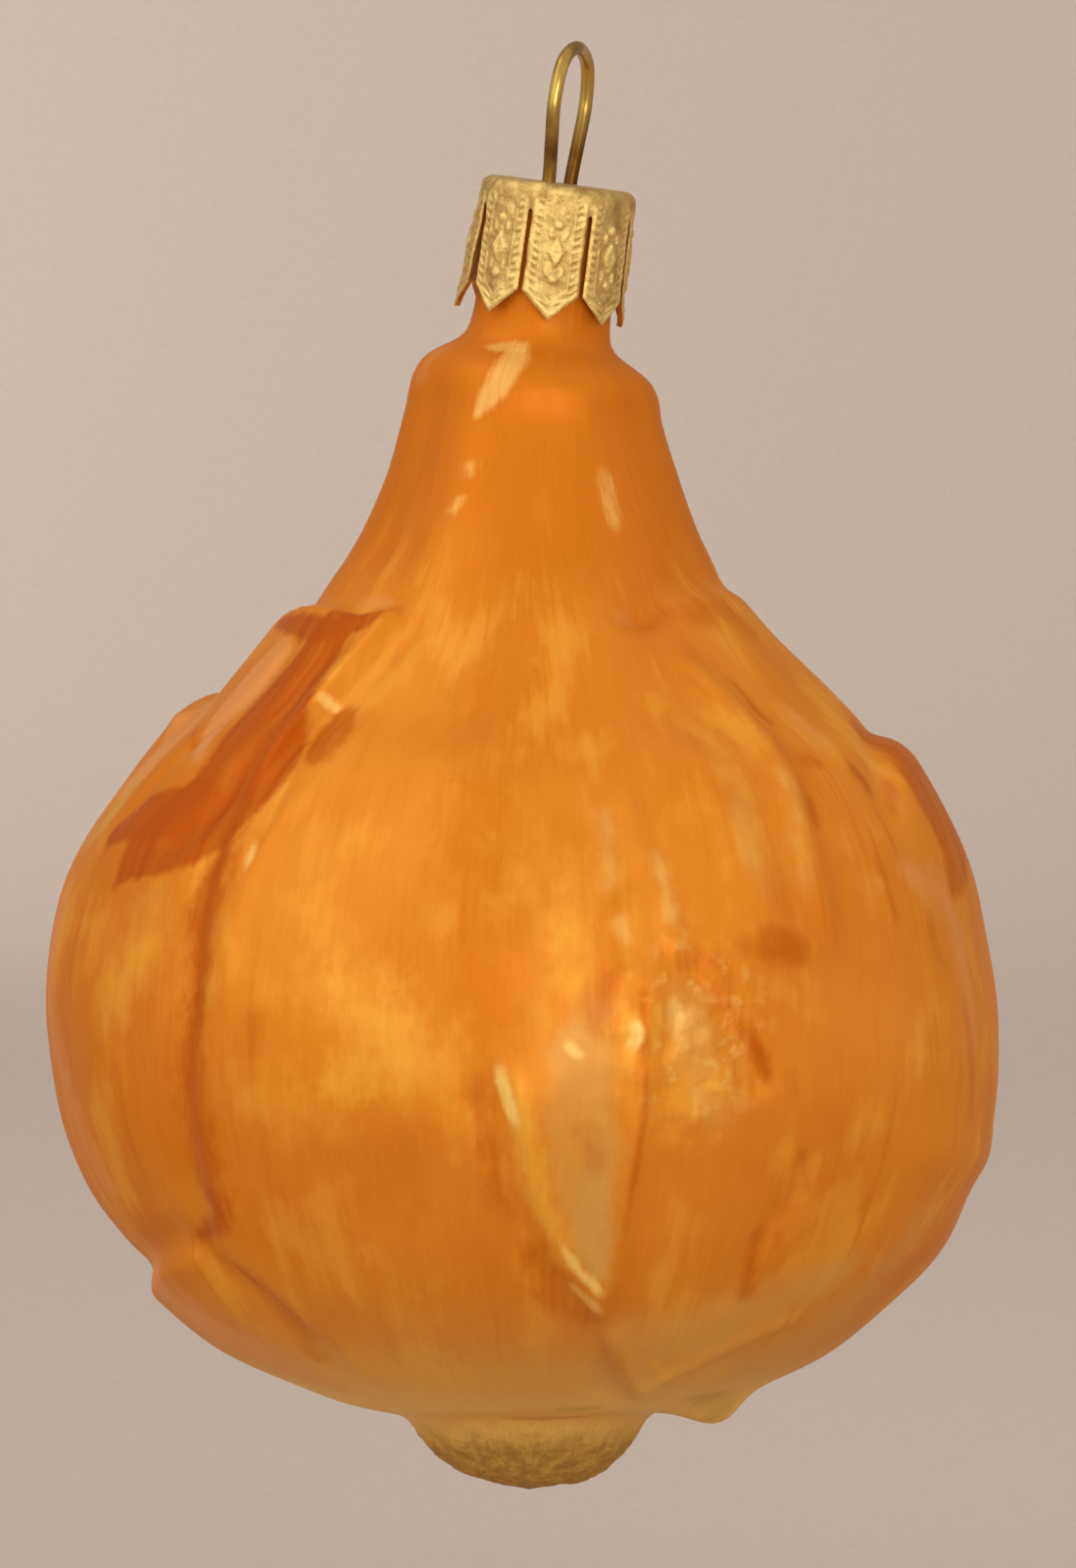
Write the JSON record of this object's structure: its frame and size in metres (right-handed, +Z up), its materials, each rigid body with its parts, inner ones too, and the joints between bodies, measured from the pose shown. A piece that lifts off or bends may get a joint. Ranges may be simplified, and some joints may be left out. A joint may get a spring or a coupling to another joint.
{
  "type": "onion-shaped glass ornament",
  "caption": "Blown-glass tree ornament shaped as an onion, silvered and lacquered orange, hung by a wire loop through a stamped metal cap on its neck.",
  "frame": {"origin": "inside of the wire loop's top, where a hook bears", "axes": "+Z up along the hang, -Y towards the front of the onion, +X to its right seen from the front"},
  "size_m": [0.0624, 0.0635, 0.0948],
  "materials": {
    "lacquered_glass": "silvered inside, translucent orange lacquer outside, semi-gloss",
    "gilt_sheet": "gold-lacquered stamped sheet",
    "brass_wire": "drawn, lightly tarnished"
  },
  "bodies": {
    "root": {"glass_onion": "lacquered_glass", "cap": "gilt_sheet", "hanger_wire": "brass_wire"}
  },
  "joints": []
}
